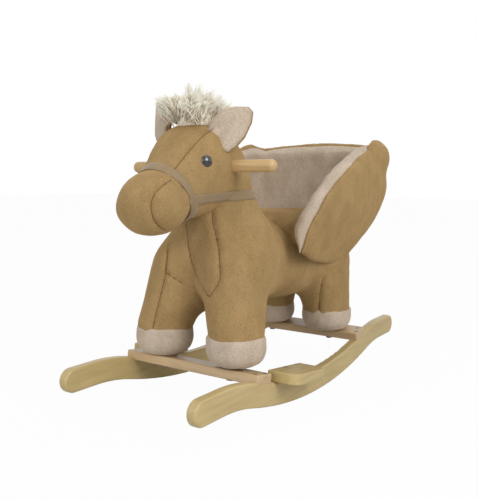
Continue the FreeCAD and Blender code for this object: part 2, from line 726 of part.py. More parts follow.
mane_block = ellipsoid("mane_block", size("mane_station"), 0, size("mane_height"),
                       "mane_half_long", "mane_half_wide", "mane_half_high")
node("mane", cut("mane_formed", mane_block, head_block, *[e[1] for e in ear_blocks]))

# ---------------------------------------------------------------- ribbons and tail
cheek = []
for side in (1, -1):
    strip = add("Part::Box", f"cheek_strip_{side + 1}", Length="150", Width="ribbon_thick",
                Height="ribbon_wide")
    turn = Rotation(Vector(0, 0, 1), -side * 4).multiply(Rotation(Vector(0, 1, 0), 2))
    strip.Placement = Placement(Vector(96, side * 66 - 0.8, 352), turn)
    cheek.append(cut(f"cheek_ribbon_{side + 1}", strip, head_block, torso_block, band_outer,
                     muzzle_side))
node("cheek_ribbons", group("cheek_ribbon_set", *cheek))

tail_block = ellipsoid("tail_block", size("tail_station"), 0, size("tail_height"),
                       "tail_half_thick", "tail_half_wide", "tail_half_high")
node("tail", cut("tail_formed", tail_block, torso_block, *seat_walls))

# ---------------------------------------------------------------- wood, housed and drilled
for side, hand in ((1, "left"), (-1, "right")):
    node(f"{hand}_footrest", cut(f"{hand}_footrest_drilled", footboards[side], footrest_screws))
    node(f"{hand}_rocker", cut(f"{hand}_rocker_housed", planks[side], crossbars[1], crossbars[-1],
                               footboards[side], crossbar_screws, footrest_screws))
front_bar = node("front_crossbar", cut("front_crossbar_drilled", crossbars[1], crossbar_screws,
                                      leg_bolts))
rear_bar = doc.addObject("Part::Mirroring", "rear_crossbar_drilled")
rear_bar.Source = front_bar
rear_bar.Normal = Vector(1, 0, 0)
node("rear_crossbar", rear_bar)

doc.recompute()

# ---------------------------------------------------------------- check and write
for obj in doc.Objects:
    if "Invalid" in obj.State or "Error" in obj.State:
        raise RuntimeError(f"{obj.Name} ({obj.Label}) failed: {obj.State}")

os.makedirs("parts", exist_ok=True)
for old in os.listdir("parts"):
    os.remove(os.path.join("parts", old))
for name in sorted(nodes):
    shape = nodes[name].Shape
    if shape.isNull() or not shape.isValid() or not shape.Solids:
        raise RuntimeError(f"{name} has no valid solid")
    volume = sum(solid.Volume for solid in shape.Solids)
    print(f"{name:24s} solids {len(shape.Solids)}  {volume / 1000:9.1f} cm3")
    shape.exportStep(f"parts/{name}.step")
print(len(nodes), "nodes")
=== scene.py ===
import json
import math

import bpy
import numpy as np
from mathutils import Matrix, Vector


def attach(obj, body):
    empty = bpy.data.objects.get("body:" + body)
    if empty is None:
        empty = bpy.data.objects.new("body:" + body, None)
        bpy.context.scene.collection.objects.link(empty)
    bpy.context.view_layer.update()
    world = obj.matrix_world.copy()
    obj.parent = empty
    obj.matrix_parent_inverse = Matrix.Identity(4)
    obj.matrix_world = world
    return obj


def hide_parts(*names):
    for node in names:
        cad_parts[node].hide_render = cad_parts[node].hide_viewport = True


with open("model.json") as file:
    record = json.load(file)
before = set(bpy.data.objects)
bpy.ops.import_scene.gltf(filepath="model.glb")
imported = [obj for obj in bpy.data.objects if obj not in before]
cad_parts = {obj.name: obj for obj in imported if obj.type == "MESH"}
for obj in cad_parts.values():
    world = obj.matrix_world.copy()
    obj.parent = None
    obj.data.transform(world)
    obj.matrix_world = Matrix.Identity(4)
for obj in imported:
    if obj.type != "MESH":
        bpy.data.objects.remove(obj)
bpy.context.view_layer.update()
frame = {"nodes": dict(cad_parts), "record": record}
rng = np.random.default_rng(7)

MM = 0.001  # metres in a millimetre


# ------------------------------------------------------------------ shape kit (millimetres)
def turn(rx=0.0, ry=0.0, rz=0.0):
    """Rotation matrix from degrees about X, then Y, then Z."""
    rx, ry, rz = np.radians([rx, ry, rz])
    cx, sx, cy, sy = np.cos(rx), np.sin(rx), np.cos(ry), np.sin(ry)
    cz, sz = np.cos(rz), np.sin(rz)
    about_x = np.array([[1, 0, 0], [0, cx, -sx], [0, sx, cx]])
    about_y = np.array([[cy, 0, sy], [0, 1, 0], [-sy, 0, cy]])
    about_z = np.array([[cz, -sz, 0], [sz, cz, 0], [0, 0, 1]])
    return about_z @ about_y @ about_x


def egg(p, centre, radii, rot=None):
    """Distance to an ellipsoid."""
    q = p - np.array(centre, np.float32)
    if rot is not None:
        q = q @ turn(*rot).astype(np.float32)
    r = np.array(radii, np.float32)
    k0 = np.linalg.norm(q / r, axis=-1)
    k1 = np.linalg.norm(q / (r * r), axis=-1)
    return k0 * (k0 - 1) / np.maximum(k1, 1e-6)


def limb(p, a, b, ra, rb, flat=1.0):
    """Distance to a tapered rod with round ends; flat over 1 widens it in y."""
    s = np.array([1, 1 / flat, 1], np.float32)
    q, a, b = p * s, np.array(a, np.float32) * s, np.array(b, np.float32) * s
    ab = b - a
    t = np.clip(((q - a) @ ab) / np.dot(ab, ab), 0, 1)
    d = np.linalg.norm(q - (a + t[..., None] * ab), axis=-1) - (ra + (rb - ra) * t)
    return d * min(1.0, flat)


def join(a, b, k):
    """Union with a fillet of about k."""
    e = np.maximum(k - np.abs(a - b), 0) / k
    return np.minimum(a, b) - e * e * k / 4


def both(a, b, k):
    """Intersection with a rounded edge of about k."""
    return -join(-a, -b, k)


def mirrored(p):
    """Both sides of the horse folded onto its left."""
    q = p.copy()
    q[..., 1] = np.abs(q[..., 1])
    return q


def polygon(u, v, corners):
    """Signed distance in a plane to a closed polygon."""
    best = np.full(u.shape, 1e9, np.float32)
    inside = np.zeros(u.shape, bool)
    count = len(corners)
    for i in range(count):
        (x0, y0), (x1, y1) = corners[i], corners[(i + 1) % count]
        ex, ey = x1 - x0, y1 - y0
        wx, wy = u - x0, v - y0
        t = np.clip((wx * ex + wy * ey) / (ex * ex + ey * ey), 0, 1)
        best = np.minimum(best, (wx - ex * t) ** 2 + (wy - ey * t) ** 2)
        crosses = (y0 > v) != (y1 > v)
        if y1 != y0:
            inside ^= crosses & (u < ex * (v - y0) / (y1 - y0) + x0)
    return np.where(inside, -1, 1) * np.sqrt(best)


# ------------------------------------------------------------------ the plush shapes
def body_shape(p):
    m = mirrored(p)
    d = egg(p, (-60, 0, 236), (190, 98, 84))
    d = join(d, egg(p, (100, 0, 240), (74, 94, 88)), 50)
    d = join(d, limb(p, (110, 0, 262), (136, 0, 380), 78, 60, 1.08), 44)
    d = join(d, limb(m, (150, 56, 226), (178, 77, 128), 57, 47), 36)
    return join(d, limb(m, (-168, 56, 222), (-172, 67, 118), 58, 48.5), 40)


def head_shape(p):
    d = join(egg(p, (188, 0, 412), (76, 63, 62)), egg(p, (146, 0, 402), (74, 58, 62)), 20)
    d = join(d, limb(p, (190, 0, 404), (262, 0, 368), 62, 48), 30)
    return join(d, limb(p, (232, 0, 372), (150, 0, 388), 50, 58), 20)


def muzzle_shape(p):
    return egg(p, (290, 0, 350), (60, 55, 50), (0, 20, 0))


FRONT_HOOF, REAR_HOOF = (178, 77, 106), (-173, 68, 99)


def hoof_shape(p, centre, sole, top, radius):
    """The sewn end of a leg: straight sides, a rounded sole and a flat top hidden in the leg."""
    around = np.linalg.norm(p[..., :2] - np.array(centre[:2], np.float32), axis=-1)
    side = around - (radius - 0.05 * (p[..., 2] - sole))
    return both(both(side, sole - p[..., 2], 34), p[..., 2] - top, 9)


def front_hoof_shape(p):
    return hoof_shape(p, FRONT_HOOF, 79, 131, 52)


def rear_hoof_shape(p):
    return hoof_shape(p, REAR_HOOF, 74, 122, 52.5)


WING = [(54, 252), (50, 285), (40, 322), (20, 361), (-12, 392), (-46, 413), (-100, 434), (-155, 449),
        (-205, 460), (-235, 466), (-340, 467), (-340, 212), (-122, 212), (-31, 226)]


def ease(t):
    """0 to 1, slow at both ends."""
    t = np.clip(t, 0, 1)
    return t * t * (3 - 2 * t)


BUCKET_FOOT, BUCKET_HIGH, BUCKET_CORNER = 222, 248, 62.0
BACK_FOOT, BACK_LEAN, BACK_BELLY = -212, 8, 44  # the back's station, lean and bulge
HALF_FOOT, HALF_BELLY = 112, 66  # half the width, and its bulge
BELLY_FOOT, BELLY_RISE = 228, 150.0  # where the bulge starts, and how far up it is full
WALL, SKIN, SEAM_PLAN = 42.0, 12.0, 4.0


def bucket_plan(p):
    """Depth behind the seat's outer face: negative inside the wall."""
    x, y, z = p[..., 0], np.abs(p[..., 1]), p[..., 2]
    swell = np.sin(np.clip((z - BELLY_FOOT) / BELLY_RISE, -0.2, 1.45) * np.pi / 2)
    back = BACK_FOOT - BACK_LEAN * (z - BUCKET_FOOT) / BUCKET_HIGH - BACK_BELLY * swell
    half = HALF_FOOT + HALF_BELLY * swell
    corner_start = back + BUCKET_CORNER
    ax = np.maximum(corner_start - x, 0)
    ay = np.maximum(y - (half - BUCKET_CORNER), 0)
    rounded = np.sqrt(ax ** 2 + ay ** 2) - BUCKET_CORNER
    plan = np.where(x > corner_start, y - half, rounded)
    # the side closes in towards its front edge, like a cupped hand
    return plan + 16 * ease((x + 70) / 110) * ease((z - 250) / 60)


def bucket_side(p):
    """The walls seen from the side, with the back's top edge arched."""
    y = np.abs(p[..., 1])
    z = p[..., 2] + 10 * np.clip(y / 150, 0, 1) ** 2 * (p[..., 0] < -215)
    return polygon(p[..., 0], z, WING)


def lobe_shape(p):
    return egg(mirrored(p), (-208, 148, 428), (40, 33, 38))


def shell_shape(p):
    """Tan outside of the seat: the outer skin and the two rear lobes."""
    plan = bucket_plan(p)
    inset = 5 - 6 * ease((-195 - p[..., 0]) / 30)
    d = both(np.abs(plan + SKIN / 2) - SKIN / 2, bucket_side(p) + inset, 12)
    outer_lobe = both(lobe_shape(p), -15 - plan, 8)
    return join(d, outer_lobe, 11) * 0.8


def lining_shape(p):
    """Cream lining: the padded inner wall, rolled over the rim and thinning to its front foot."""
    plan = bucket_plan(p)
    thick = 10 + (WALL - 10) * ease((p[..., 2] - 236) / 70)
    middle = -(SEAM_PLAN + thick) / 2
    low_back = 5 * ease((-195 - p[..., 0]) / 30)
    d = both(np.abs(plan - middle) - (thick - SEAM_PLAN) / 2, bucket_side(p) + low_back, 26)
    return d * 0.8


# ------------------------------------------------------------------ polygoniser
CORNERS = np.array([(i, j, k) for i in (0, 1) for j in (0, 1) for k in (0, 1)])
EDGES = [(a, b) for a in range(8) for b in range(a + 1, 8)
         if np.abs(CORNERS[a] - CORNERS[b]).sum() == 1]


def polygonise(shape, low, high, cell):
    """Vertices (mm) and quads of shape = 0, by surface nets."""
    low, high = np.array(low, np.float32), np.array(high, np.float32)
    count = np.ceil((high - low) / cell).astype(int) + 1
    axes = [low[i] + cell * np.arange(count[i], dtype=np.float32) for i in range(3)]
    values = np.empty(count, np.float32)
    yy, zz = np.meshgrid(axes[1], axes[2], indexing="ij")
    step = 8
    for i in range(0, count[0], step):
        xs = axes[0][i:i + step]
        block = np.empty((len(xs),) + yy.shape + (3,), np.float32)
        block[..., 0] = xs[:, None, None]
        block[..., 1] = yy
        block[..., 2] = zz
        values[i:i + step] = shape(block)
    solid = values < 0
    cells = np.zeros(count - 1, np.int8)
    for c in CORNERS:
        cells += solid[c[0]:count[0] - 1 + c[0], c[1]:count[1] - 1 + c[1],
                       c[2]:count[2] - 1 + c[2]]
    active = np.argwhere((cells > 0) & (cells < 8))
    number = np.full(count - 1, -1, np.int32)
    number[tuple(active.T)] = np.arange(len(active))
    corner_values = np.stack([values[tuple((active + c).T)] for c in CORNERS], 1)
    total = np.zeros((len(active), 3), np.float32)
    hits = np.zeros((len(active), 1), np.float32)
    for a, b in EDGES:
        va, vb = corner_values[:, a], corner_values[:, b]
        cross = ((va < 0) != (vb < 0))[:, None]
        t = (va / np.where(va == vb, 1, va - vb))[:, None]
        total += cross * (CORNERS[a] + t * (CORNERS[b] - CORNERS[a]))
        hits += cross
    points = low + cell * (active + total / hits)
    quads = []
    for axis in range(3):
        other = [(axis + 1) % 3, (axis + 2) % 3]
        ahead = np.roll(solid, -1, axis)
        flip = solid != ahead
        index = np.argwhere(flip)
        ok = (index[:, axis] < count[axis] - 1)
        for o in other:
            ok &= (index[:, o] > 0) & (index[:, o] < count[o] - 1)
        index = index[ok]
        inward = solid[tuple(index.T)]
        ring = []
        for du, dv in ((0, 0), (1, 0), (1, 1), (0, 1)):
            cell_index = index.copy()
            cell_index[:, other[0]] -= du
            cell_index[:, other[1]] -= dv
            ring.append(number[tuple(cell_index.T)])
        ring = np.stack(ring, 1)
        ring = np.where(inward[:, None], ring, ring[:, ::-1])
        quads.append(ring)
    quads = np.concatenate(quads)
    for _ in range(2):
        value, slope = sample(shape, points)
        points = points - np.clip(value, -cell, cell)[:, None] * slope
    return points, quads


def sample(shape, points):
    """Value and unit slope of a shape at points."""
    value = shape(points)
    slope = np.empty_like(points)
    for k in range(3):
        shift = np.zeros(3, np.float32)
        shift[k] = 0.8
        slope[:, k] = shape(points + shift) - shape(points - shift)
    slope /= np.linalg.norm(slope, axis=1, keepdims=True) + 1e-9
    return value, slope


def new_mesh(name, points, faces):
    """A smooth-shaded mesh object, given in millimetres, that rides on the one body."""
    mesh = bpy.data.meshes.new(name)
    mesh.from_pydata([tuple(q) for q in np.asarray(points, float) * MM], [],
                     [tuple(int(i) for i in f) for f in faces])
    mesh.validate()
    mesh.update()
    obj = bpy.data.objects.new(name, mesh)
    bpy.context.scene.collection.objects.link(obj)
    mesh.polygons.foreach_set("use_smooth", [True] * len(mesh.polygons))
    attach(obj, "root")
    return obj


# ------------------------------------------------------------------ seams
def path_distance(points, path):
    """Distance from points to a polyline, how far along it, and the nearest place on it."""
    best = np.full(len(points), 1e9)
    along = np.zeros(len(points))
    nearest = np.array(points, float)
    run = 0.0
    for a, b in zip(path[:-1], path[1:]):
        a, b = np.array(a, float), np.array(b, float)
        ab = b - a
        t = np.clip((points - a) @ ab / np.dot(ab, ab), 0, 1)
        foot = a + t[:, None] * ab
        d = np.linalg.norm(points - foot, axis=1)
        closer = d < best
        along = np.where(closer, run + t * np.linalg.norm(ab), along)
        nearest[closer] = foot[closer]
        best = np.minimum(best, d)
        run += np.linalg.norm(ab)
    return best, along, nearest


def on_surface(shape, path, steps=5):
    """A path drawn near a surface, laid on it and made fine."""
    fine = []
    for a, b in zip(path[:-1], path[1:]):
        a, b = np.array(a, float), np.array(b, float)
        n = max(2, int(np.linalg.norm(b - a) / 4))
        fine += [a + (b - a) * i / n for i in range(n)]
    fine.append(np.array(path[-1], float))
    q = np.array(fine, np.float32)
    for _ in range(steps):
        value, slope = sample(shape, q)
        q = q - value[:, None] * slope
    return q


def smooth_path(q, rounds=6):
    """A polyline with its corners averaged away."""
    q = q.copy()
    for _ in range(rounds):
        q[1:-1] = q[1:-1] * 0.5 + (q[:-2] + q[2:]) * 0.25
    return q


def draw_to_seams(points, paths, reach):
    """Slide the vertices next to a seam onto it, so that the crease is a line of edges."""
    moved = points.copy()
    for path in paths:
        d, _, nearest = path_distance(points, path)
        close = d < reach
        moved[close] = nearest[close]
    return moved


def sew(shape, points, paths, depth=2.6, width=3.4, puff=0.7):
    """Pull the skin in along seams, with small puckers, and let it swell beside them."""
    _, slope = sample(shape, points)
    moved = points.copy()
    for path in paths:
        d, along, _ = path_distance(points, path)
        pucker = 1 + 0.10 * np.sin(along * 0.45) + 0.06 * np.sin(along * 1.3 + 1)
        pull = depth * np.exp(-(d / width) ** 2) * pucker
        swell = puff * np.exp(-((d - 3.2 * width) / (1.6 * width)) ** 2)
        moved = moved + slope * (swell - pull)[:, None]
    return moved


def wander(points, size, seed):
    """Smooth pseudo-random field between about -1 and 1."""
    gen = np.random.default_rng(seed)
    total = np.zeros(len(points))
    for _ in range(7):
        way = gen.normal(size=3)
        way /= np.linalg.norm(way)
        total += np.sin(points @ way * (2 * np.pi / size) * gen.uniform(0.6, 1.5)
                        + gen.uniform(0, 6.28))
    return total / 3.2


def both_sides(path):
    """A path and its mirror image."""
    return [path, [(x, -y, z) for x, y, z in path]]


def plush(name, shape, low, high, cell, paths=(), depth=2.6, width=3.4, bump=0.7, seed=1,
          seam_shade=1.5):
    """A stuffed plush piece: skin with sewn-in seams and slightly uneven filling."""
    points, quads = polygonise(shape, low, high, cell)
    seams = [smooth_path(on_surface(shape, path)) for path in paths]
    _, slope = sample(shape, points)
    points = points + slope * (bump * wander(points, 75, seed)
                               + 0.35 * bump * wander(points, 24, seed + 50))[:, None]
    # mask of the painted shade along the seams: 1 on a seam line, fading off to the sides
    near = np.zeros(len(points))
    points = draw_to_seams(points, seams, 0.62 * cell)
    for path in seams:
        near = np.maximum(near, np.exp(-(path_distance(points, path)[0] / seam_shade) ** 2))
    points = sew(shape, points, seams, depth, width)
    obj = new_mesh(name, points, quads)
    field = obj.data.attributes.new("seam", "FLOAT", "POINT")
    field.data.foreach_set("value", near.astype(np.float32))
    return obj


# ------------------------------------------------------------------ materials
def node_tree(name):
    mat = bpy.data.materials.new(name)
    mat.use_nodes = True
    tree = mat.node_tree
    shader = tree.nodes["Principled BSDF"]
    return mat, tree, shader


def noise(tree, where, scale, detail=3.0, rough=0.6):
    n = tree.nodes.new("ShaderNodeTexNoise")
    n.inputs["Scale"].default_value = scale
    n.inputs["Detail"].default_value = detail
    n.inputs["Roughness"].default_value = rough
    tree.links.new(where, n.inputs["Vector"])
    return n.outputs["Fac"]


def ramp(tree, fac, stops):
    r = tree.nodes.new("ShaderNodeValToRGB")
    r.color_ramp.elements[0].position, r.color_ramp.elements[0].color = stops[0][0], stops[0][1] + (1,)
    r.color_ramp.elements[1].position, r.color_ramp.elements[1].color = stops[-1][0], stops[-1][1] + (1,)
    for place, colour in stops[1:-1]:
        e = r.color_ramp.elements.new(place)
        e.color = colour + (1,)
    tree.links.new(fac, r.inputs["Fac"])
    return r.outputs["Color"]


def blend_colour(tree, kind, fac, a, b):
    m = tree.nodes.new("ShaderNodeMix")
    m.data_type = "RGBA"
    m.blend_type = kind
    for socket, value in ((m.inputs["Factor"], fac), (m.inputs[6], a), (m.inputs[7], b)):
        if isinstance(value, (int, float)):
            socket.default_value = value
        elif isinstance(value, tuple):
            socket.default_value = value + (1,)
        else:
            tree.links.new(value, socket)
    return m.outputs[2]


def scaled(tree, where, factors):
    m = tree.nodes.new("ShaderNodeMapping")
    m.inputs["Scale"].default_value = factors
    tree.links.new(where, m.inputs["Vector"])
    return m.outputs["Vector"]


def coords(tree):
    return tree.nodes.new("ShaderNodeTexCoord").outputs["Object"]


def bumped(tree, shader, height, strength, distance):
    b = tree.nodes.new("ShaderNodeBump")
    b.inputs["Strength"].default_value = strength
    b.inputs["Distance"].default_value = distance
    tree.links.new(height, b.inputs["Height"])
    tree.links.new(b.outputs["Normal"], shader.inputs["Normal"])


def shade(colour, k):
    return tuple(min(1.0, c * k) for c in colour)


def plush_material(name, colour, seam_shade, sheen=0.6, pile=400.0):
    """Short cut pile: fine mottling, brushed patches, and painted shade along the seam creases."""
    mat, tree, shader = node_tree(name)
    where = coords(tree)
    fine = noise(tree, where, pile, 5.0, 0.7)
    brushed = noise(tree, scaled(tree, where, (1.0, 1.0, 0.55)), 34.0, 3.0)
    broad = noise(tree, where, 9.0, 2.0)
    base = ramp(tree, fine, [(0.30, shade(colour, 0.74)), (0.52, colour), (0.72, shade(colour, 1.16))])
    patch = ramp(tree, brushed, [(0.35, (0.90, 0.885, 0.86)), (0.65, (1.07, 1.07, 1.07))])
    drift = ramp(tree, broad, [(0.3, (0.94, 0.925, 0.90)), (0.7, (1.04, 1.045, 1.06))])
    tint = blend_colour(tree, "MULTIPLY", 1.0, blend_colour(tree, "MULTIPLY", 1.0, base, patch), drift)
    # the seam mask mixes in the second colour: painted shade in the seam creases
    seam = tree.nodes.new("ShaderNodeAttribute")
    seam.attribute_name = "seam"
    line = tree.nodes.new("ShaderNodeMapRange")
    line.inputs["From Min"].default_value = 0.5
    line.inputs["From Max"].default_value = 0.95
    tree.links.new(seam.outputs["Fac"], line.inputs["Value"])
    mixed = blend_colour(tree, "MIX", line.outputs["Result"], tint, seam_shade)
    tree.links.new(mixed, shader.inputs["Base Color"])
    shader.inputs["Roughness"].default_value = 0.95
    shader.inputs["Specular IOR Level"].default_value = 0.15
    shader.inputs["Sheen Weight"].default_value = sheen
    shader.inputs["Sheen Roughness"].default_value = 0.42
    shader.inputs["Sheen Tint"].default_value = shade(colour, 1.6) + (1,)
    bumped(tree, shader, fine, 0.65, 0.0014)
    return mat


def wood_material(name, colour, along, streak=1.0, rough=0.42):
    """Clear-varnished pale hardwood with its grain along one axis."""
    mat, tree, shader = node_tree(name)
    where = coords(tree)
    stretch = [1.0, 1.0, 1.0]
    stretch[along] = 0.06
    grain = noise(tree, scaled(tree, where, stretch), 150.0, 6.0, 0.62)
    pores = noise(tree, scaled(tree, where, [s if s == 1.0 else 0.03 for s in stretch]), 900.0, 2.0)
    broad = noise(tree, scaled(tree, where, [s if s == 1.0 else 0.3 for s in stretch]), 22.0, 2.0)
    base = ramp(tree, grain, [(0.28, shade(colour, 1 - 0.26 * streak)), (0.5, colour),
                              (0.75, shade(colour, 1 + 0.10 * streak))])
    lines = ramp(tree, pores, [(0.38, (0.90, 0.87, 0.82)), (0.5, (1.0, 1.0, 1.0))])
    drift = ramp(tree, broad, [(0.3, (0.92, 0.90, 0.86)), (0.7, (1.05, 1.05, 1.05))])
    tint = blend_colour(tree, "MULTIPLY", 1.0, blend_colour(tree, "MULTIPLY", 0.7, base, lines), drift)
    tree.links.new(tint, shader.inputs["Base Color"])
    shader.inputs["Roughness"].default_value = rough
    shader.inputs["Coat Weight"].default_value = 0.25
    shader.inputs["Coat Roughness"].default_value = 0.3
    bumped(tree, shader, grain, 0.08, 0.0004)
    return mat


def ribbon_material(name, colour):
    """Satin ribbon: fine ribs across the weave and a cloudy tone."""
    mat, tree, shader = node_tree(name)
    where = coords(tree)
    weave = noise(tree, scaled(tree, where, (1.0, 1.0, 3.0)), 1100.0, 2.0)
    cloudy = noise(tree, where, 40.0, 2.0)
    base = ramp(tree, weave, [(0.35, shade(colour, 0.8)), (0.65, shade(colour, 1.12))])
    drift = ramp(tree, cloudy, [(0.3, (0.93, 0.93, 0.93)), (0.7, (1.06, 1.06, 1.06))])
    tree.links.new(blend_colour(tree, "MULTIPLY", 1.0, base, drift), shader.inputs["Base Color"])
    shader.inputs["Roughness"].default_value = 0.6
    shader.inputs["Sheen Weight"].default_value = 0.25
    bumped(tree, shader, weave, 0.3, 0.0004)
    return mat


def fur_material(name, colour):
    """Long pile: root to tip shading from the strand's own attribute."""
    mat, tree, shader = node_tree(name)
    where = coords(tree)
    streaks = noise(tree, where, 260.0, 3.0)
    tip = tree.nodes.new("ShaderNodeAttribute")
    tip.attribute_name = "tip"
    along = ramp(tree, tip.outputs["Fac"], [(0.0, shade(colour, 0.85)), (0.4, colour),
                                           (1.0, shade(colour, 1.25))])
    tone = ramp(tree, streaks, [(0.3, (0.93, 0.90, 0.82)), (0.7, (1.04, 1.04, 1.05))])
    tree.links.new(blend_colour(tree, "MULTIPLY", 1.0, along, tone), shader.inputs["Base Color"])
    shader.inputs["Roughness"].default_value = 0.7
    shader.inputs["Sheen Weight"].default_value = 0.3
    shader.inputs["Specular IOR Level"].default_value = 0.3
    return mat


def metal_material(name, colour):
    mat, tree, shader = node_tree(name)
    wear = noise(tree, coords(tree), 700.0, 3.0)
    tree.links.new(ramp(tree, wear, [(0.3, shade(colour, 0.8)), (0.7, shade(colour, 1.1))]),
                   shader.inputs["Base Color"])
    shader.inputs["Metallic"].default_value = 1.0
    shader.inputs["Roughness"].default_value = 0.35
    bumped(tree, shader, wear, 0.1, 0.0002)
    return mat


def plastic_material(name, colour, rough, coat):
    mat, tree, shader = node_tree(name)
    cloud = noise(tree, coords(tree), 300.0, 2.0)
    tree.links.new(ramp(tree, cloud, [(0.3, shade(colour, 0.85)), (0.7, shade(colour, 1.15))]),
                   shader.inputs["Base Color"])
    shader.inputs["Roughness"].default_value = rough
    shader.inputs["Coat Weight"].default_value = coat
    shader.inputs["Coat Roughness"].default_value = 0.05
    return mat


# each plush colour comes with a darker one that is painted shade for its seam creases
TAN, TAN_SEAM_SHADE = (0.365, 0.243, 0.108), (0.17, 0.095, 0.036)
CREAM, CREAM_SEAM_SHADE = (0.55, 0.455, 0.36), (0.30, 0.20, 0.12)
finish = {
    "tan_plush": plush_material("tan plush", TAN, TAN_SEAM_SHADE),
    "cream_plush": plush_material("cream plush", CREAM, CREAM_SEAM_SHADE, 0.5, 380.0),
    "mane_pile": fur_material("mane pile", (0.95, 0.88, 0.73)),
    "ribbon": ribbon_material("ribbon", (0.27, 0.185, 0.09)),
    "eye_plastic": plastic_material("eye plastic", (0.012, 0.010, 0.010), 0.08, 1.0),
    "washer_plastic": plastic_material("washer plastic", (0.6, 0.6, 0.58), 0.5, 0.0),
    "rocker_wood": wood_material("rocker wood", (0.52, 0.40, 0.18), 0, 0.6),
    "crossbar_wood": wood_material("crossbar wood", (0.54, 0.39, 0.22), 1, 0.8),
    "inner_wood": wood_material("inner wood", (0.50, 0.38, 0.22), 0, 1.2, 0.7),
    "handle_wood": wood_material("handle wood", (0.56, 0.37, 0.165), 1, 0.8),
    "screw_steel": metal_material("screw steel", (0.20, 0.19, 0.18)),
    "foam": plastic_material("foam", (0.75, 0.72, 0.6), 0.9, 0.0),
}


def dress(obj, slot):
    """Give a piece a slot's finish."""
    obj.data.materials.clear()
    obj.data.materials.append(finish[slot])
    return obj


slot_of = {row["node"]: row["material_slot"] for row in frame["record"]["subparts"]}
for node_name, node_object in frame["nodes"].items():
    for place in node_object.material_slots:
        place.material = finish[slot_of[node_name]]

# ------------------------------------------------------------------ body and legs
FRONT_LEG_SEAM = [(190, -58, 275), (199, -50, 248), (210, -50, 222), (217, -57, 185), (220, -63, 155),
                  (219, -68, 128)]
LEG_DART = [(207, -46, 226), (203, -33, 217), (198, -22, 211)]
CHEST_LEFT = [(178, 31, 345), (185, 32, 320), (184, 38, 299), (196, 55, 266), (207, 66, 228),
              (210, 59, 213), (209, 45, 195)]
CHEST_RIGHT = [(178, -24, 340), (186, -22, 318), (189, -19, 297), (193, -13, 275), (196, -1, 243),
               (196, 14, 211), (208, 42, 195)]
REAR_LEG_SEAM = [(-122, 78, 196), (-127, 76, 168), (-131, 74, 142), (-133, 72, 116)]
RUMP_SEAM = [(-262, 0, 270), (-252, 0, 220), (-236, 0, 180), (-180, 0, 150), (-60, 0, 150),
             (60, 0, 150), (140, 0, 156), (178, 0, 186)]
body_paths = (both_sides(REAR_LEG_SEAM)
              + [FRONT_LEG_SEAM, LEG_DART, CHEST_LEFT, CHEST_RIGHT, RUMP_SEAM])
body = plush("body_plush", body_shape, (-264, -140, 68), (246, 140, 446), 3.0, body_paths, seed=3)
dress(body, "tan_plush")
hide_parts("torso", "front_left_leg", "front_right_leg", "rear_left_leg", "rear_right_leg")

# ------------------------------------------------------------------ hooves
for word, shape, centre in (("front", front_hoof_shape, FRONT_HOOF),
                            ("rear", rear_hoof_shape, REAR_HOOF)):
    for hand, side in (("left", 1), ("right", -1)):
        cx, cy, cz = centre[0], centre[1] * side, centre[2]

        def hoof(p, shape=shape, centre=centre, cy=cy):
            q = p.copy()
            q[..., 1] += centre[1] - cy
            return shape(q)

        piece = plush(f"{word}_{hand}_hoof_plush", hoof, (cx - 62, cy - 62, cz - 40),
                      (cx + 62, cy + 62, cz + 40), 2.6, seed=11 + side, bump=0.8)
        dress(piece, "cream_plush")
        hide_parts(f"{word}_{hand}_hoof")

# ------------------------------------------------------------------ head and muzzle
FOREHEAD_SEAM = [(196, 42, 468), (216, 42, 457), (239, 41, 441), (262, 36, 419), (286, 31, 395)]
CHIN_SEAM = [(255, 0, 318), (230, 0, 316), (200, 0, 326), (160, 0, 334)]
NAPE_SEAM = [(196, 0, 476), (150, 0, 466), (100, 0, 440), (76, 0, 400)]
head = plush("head_plush", head_shape, (60, -76, 300), (322, 76, 484), 2.5,
             both_sides(FOREHEAD_SEAM) + [CHIN_SEAM, NAPE_SEAM], seed=5)
dress(head, "tan_plush")
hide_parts("head")

MUZZLE_SEAM = [(296, 45, 392), (310, 40, 380), (326, 36, 369), (335, 34, 356), (337, 34, 341),
               (331, 34, 327), (316, 33, 313), (296, 32, 304)]
muzzle = plush("muzzle_plush", muzzle_shape, (222, -62, 292), (356, 62, 408), 2.3,
               [MUZZLE_SEAM, [(x - 8, -1.4 * y, z) for x, y, z in MUZZLE_SEAM]], seed=8)
dress(muzzle, "tan_plush")
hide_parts("muzzle")

# ------------------------------------------------------------------ seat bucket
shell = plush("seat_shell_plush", shell_shape, (-312, -212, 206), (66, 212, 492), 3.2,
              [[(-262, 0, 462), (-270, 0, 400), (-262, 0, 320), (-226, 0, 240)]], seed=21)
dress(shell, "tan_plush")
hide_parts("seat_shell")
lining = plush("seat_lining_plush", lining_shape, (-290, -200, 206), (66, 200, 486), 3.0,
               seed=23, bump=1.0)
dress(lining, "cream_plush")
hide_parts("seat_lining")


PAD_CENTRE, PAD_HALF, PAD_ROUND = (-92, 0, 292), (106, 108, 26), 20


def pad_shape(p):
    """A box with rounded edges."""
    core = np.array(PAD_HALF, np.float32) - np.float32(PAD_ROUND)
    q = np.abs(p - np.array(PAD_CENTRE, np.float32)) - core
    out = np.linalg.norm(np.maximum(q, 0), axis=-1) + np.minimum(q.max(-1), 0)
    return out - PAD_ROUND


